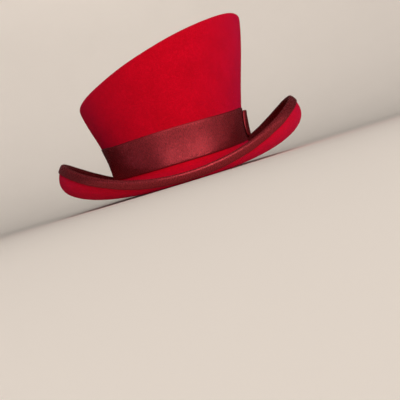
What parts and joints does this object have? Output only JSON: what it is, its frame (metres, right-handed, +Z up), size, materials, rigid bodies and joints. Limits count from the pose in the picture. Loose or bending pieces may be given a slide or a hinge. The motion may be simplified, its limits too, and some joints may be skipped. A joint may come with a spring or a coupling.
{
  "type": "wool felt top hat",
  "caption": "Red wool felt top hat with a bell-flared crown, slanted flat tip, rolled brim, ribbon band with side bow, and ribbon-bound edge.",
  "frame": {"origin": "middle of the hat's overall width and length, on the surface that the brim rests on", "axes": "+Z up through the crown; the front of the hat faces -Y; +X is the wearer's left, where the crown is tallest and the bow sits"},
  "size_m": [0.2844, 0.3018, 0.1584],
  "materials": {
    "wool_felt": "matte wool felt",
    "ribbon": "satin ribbon with a soft sheen"
  },
  "bodies": {
    "root": {"felt_body": "wool_felt", "hatband": "ribbon", "brim_binding": "ribbon", "bow_loop_front": "ribbon", "bow_loop_back": "ribbon", "bow_knot": "ribbon"}
  },
  "joints": []
}
